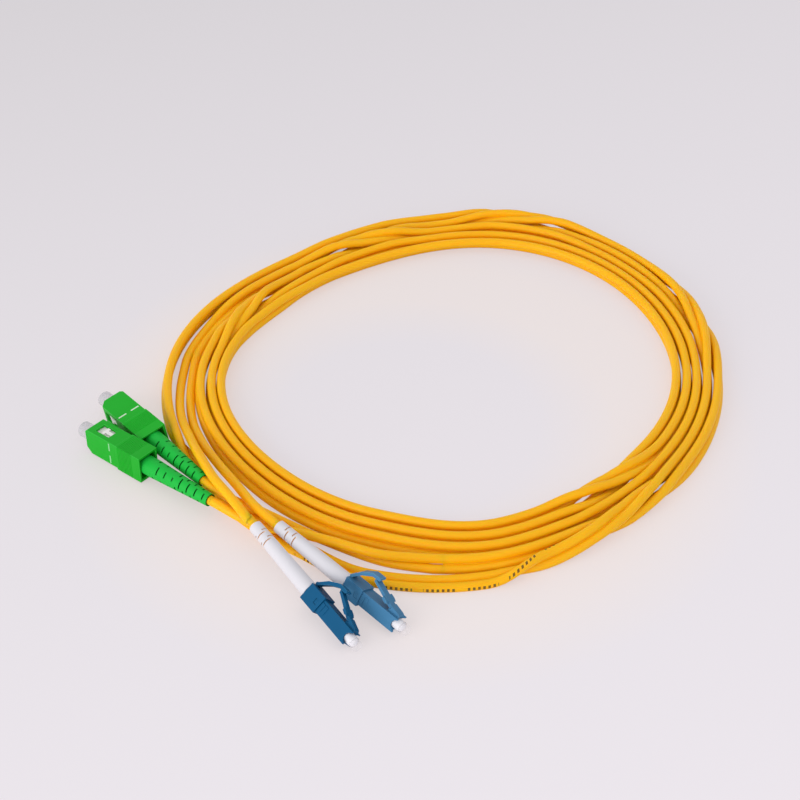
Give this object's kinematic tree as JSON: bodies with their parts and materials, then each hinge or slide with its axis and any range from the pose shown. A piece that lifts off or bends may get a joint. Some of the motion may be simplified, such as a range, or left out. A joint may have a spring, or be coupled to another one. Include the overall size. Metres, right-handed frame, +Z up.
{
  "type": "fiber optic patch cord",
  "caption": "Duplex fibre optic patch cord, coiled flat: yellow two-fibre cord with green angled SC plugs at one end and blue LC plugs at the other, dust caps on.",
  "frame": {"origin": "on the table, under the middle of the whole object's bounding box", "axes": "+Z up; the plugs lie on the -X and -Y sides of the coil; +X to the right and +Y away as the object is seen from its plugs' side"},
  "size_m": [0.2156, 0.2234, 0.0127],
  "materials": {
    "boot_white": "flexible white boot",
    "cap_clear": "translucent soft cap",
    "cord_jacket": "satin yellow cable jacket",
    "crimp_brass": "crimped sleeve",
    "fibre_white": "buffered fibre",
    "lc_blue_dark": "satin dark blue moulding",
    "lc_blue_light": "satin light blue moulding",
    "sc_boot_green": "flexible green boot",
    "sc_green": "satin green moulding",
    "spring_steel": "spring wire",
    "steel": "bright metal",
    "white_plastic": "white moulding",
    "zirconia": "polished white ceramic"
  },
  "bodies": {
    "cord_and_plug_cores": {"duplex_cord": "cord_jacket", "sc_1_leg": "cord_jacket", "sc_2_leg": "cord_jacket", "lc_1_leg": "cord_jacket", "lc_2_leg": "cord_jacket", "sc_1_plug_frame": "white_plastic", "sc_1_spring": "spring_steel", "sc_1_backpost": "steel", "sc_1_crimp": "crimp_brass", "sc_1_boot": "sc_boot_green", "sc_1_jacket_end": "cord_jacket", "sc_1_fibre": "fibre_white", "sc_2_plug_frame": "white_plastic", "sc_2_spring": "spring_steel", "sc_2_backpost": "steel", "sc_2_crimp": "crimp_brass", "sc_2_boot": "sc_boot_green", "sc_2_jacket_end": "cord_jacket", "sc_2_fibre": "fibre_white", "lc_1_front_body": "lc_blue_dark", "lc_1_rear_body": "lc_blue_dark", "lc_1_spring": "spring_steel", "lc_1_backpost": "steel", "lc_1_crimp": "crimp_brass", "lc_1_boot": "boot_white", "lc_1_jacket_end": "cord_jacket", "lc_1_fibre": "fibre_white", "lc_2_front_body": "lc_blue_light", "lc_2_rear_body": "lc_blue_light", "lc_2_spring": "spring_steel", "lc_2_backpost": "steel", "lc_2_crimp": "crimp_brass", "lc_2_boot": "boot_white", "lc_2_jacket_end": "cord_jacket", "lc_2_fibre": "fibre_white"},
    "sc_1_grip_body": {"sc_1_grip": "sc_green", "sc_1_marks": "white_plastic"},
    "sc_1_ferrule_body": {"sc_1_ferrule": "zirconia", "sc_1_flange": "steel"},
    "sc_1_cap_body": {"sc_1_dust_cap": "cap_clear"},
    "sc_2_grip_body": {"sc_2_grip": "sc_green", "sc_2_marks": "white_plastic"},
    "sc_2_ferrule_body": {"sc_2_ferrule": "zirconia", "sc_2_flange": "steel"},
    "sc_2_cap_body": {"sc_2_dust_cap": "cap_clear"},
    "lc_1_trigger_body": {"lc_1_trigger": "lc_blue_dark"},
    "lc_1_latch_body": {"lc_1_latch": "lc_blue_dark"},
    "lc_1_ferrule_body": {"lc_1_ferrule": "zirconia", "lc_1_flange": "steel"},
    "lc_1_cap_body": {"lc_1_dust_cap": "cap_clear"},
    "lc_2_trigger_body": {"lc_2_trigger": "lc_blue_light"},
    "lc_2_latch_body": {"lc_2_latch": "lc_blue_light"},
    "lc_2_ferrule_body": {"lc_2_ferrule": "zirconia", "lc_2_flange": "steel"},
    "lc_2_cap_body": {"lc_2_dust_cap": "cap_clear"}
  },
  "joints": [
    {"name": "sc_1_grip_slide", "type": "slide", "parent": "cord_and_plug_cores", "child": "sc_1_grip_body", "axis": [-0.779, 0.6264, -0.0279], "range_m": [-0.002, 0]},
    {"name": "sc_1_ferrule_slide", "type": "slide", "parent": "cord_and_plug_cores", "child": "sc_1_ferrule_body", "axis": [-0.779, 0.6264, -0.0279], "range_m": [-0.001, 0], "stiffness_N_per_m": 1500, "springref_m": 0.0005, "deforming": ["sc_1_spring"]},
    {"name": "sc_1_cap_pull", "type": "slide", "parent": "cord_and_plug_cores", "child": "sc_1_cap_body", "axis": [-0.779, 0.6264, -0.0279], "range_m": [0, 0.009]},
    {"name": "sc_2_grip_slide", "type": "slide", "parent": "cord_and_plug_cores", "child": "sc_2_grip_body", "axis": [-0.6528, 0.7563, -0.0419], "range_m": [-0.002, 0]},
    {"name": "sc_2_ferrule_slide", "type": "slide", "parent": "cord_and_plug_cores", "child": "sc_2_ferrule_body", "axis": [-0.6528, 0.7563, -0.0419], "range_m": [-0.001, 0], "stiffness_N_per_m": 1500, "springref_m": 0.0005, "deforming": ["sc_2_spring"]},
    {"name": "sc_2_cap_pull", "type": "slide", "parent": "cord_and_plug_cores", "child": "sc_2_cap_body", "axis": [-0.6528, 0.7563, -0.0419], "range_m": [0, 0.009]},
    {"name": "lc_1_trigger_hinge", "type": "hinge", "parent": "cord_and_plug_cores", "child": "lc_1_trigger_body", "pos_m": [-0.02637, -0.09028, 0.00728], "axis": [0.4711, 0.4337, -0.7681], "range_deg": [0, 14], "stiffness_Nm_per_rad": 0.01},
    {"name": "lc_1_latch_hinge", "type": "hinge", "parent": "cord_and_plug_cores", "child": "lc_1_latch_body", "pos_m": [-0.01719, -0.10281, 0.00583], "axis": [-0.4711, -0.4337, 0.7681], "range_deg": [0, 13], "stiffness_Nm_per_rad": 0.002},
    {"name": "lc_1_ferrule_slide", "type": "slide", "parent": "cord_and_plug_cores", "child": "lc_1_ferrule_body", "axis": [0.5851, -0.8053, -0.0958], "range_m": [-0.001, 0], "stiffness_N_per_m": 1000, "springref_m": 0.0005, "deforming": ["lc_1_spring"]},
    {"name": "lc_1_cap_pull", "type": "slide", "parent": "cord_and_plug_cores", "child": "lc_1_cap_body", "axis": [0.5851, -0.8053, -0.0958], "range_m": [0, 0.007]},
    {"name": "lc_2_trigger_hinge", "type": "hinge", "parent": "cord_and_plug_cores", "child": "lc_2_trigger_body", "pos_m": [-0.01631, -0.08713, 0.00799], "axis": [0.5833, 0.6644, -0.4673], "range_deg": [0, 14], "stiffness_Nm_per_rad": 0.01},
    {"name": "lc_2_latch_hinge", "type": "hinge", "parent": "cord_and_plug_cores", "child": "lc_2_latch_body", "pos_m": [-0.00515, -0.09794, 0.00657], "axis": [-0.5833, -0.6644, 0.4673], "range_deg": [0, 13], "stiffness_Nm_per_rad": 0.002},
    {"name": "lc_2_ferrule_slide", "type": "slide", "parent": "cord_and_plug_cores", "child": "lc_2_ferrule_body", "axis": [0.7136, -0.694, -0.0958], "range_m": [-0.001, 0], "stiffness_N_per_m": 1000, "springref_m": 0.0005, "deforming": ["lc_2_spring"]},
    {"name": "lc_2_cap_pull", "type": "slide", "parent": "cord_and_plug_cores", "child": "lc_2_cap_body", "axis": [0.7136, -0.694, -0.0958], "range_m": [0, 0.007]}
  ],
  "couplings": [
    {"joint": "lc_1_latch_hinge", "follows": "lc_1_trigger_hinge", "ratio": 0.9},
    {"joint": "lc_2_latch_hinge", "follows": "lc_2_trigger_hinge", "ratio": 0.9}
  ]
}
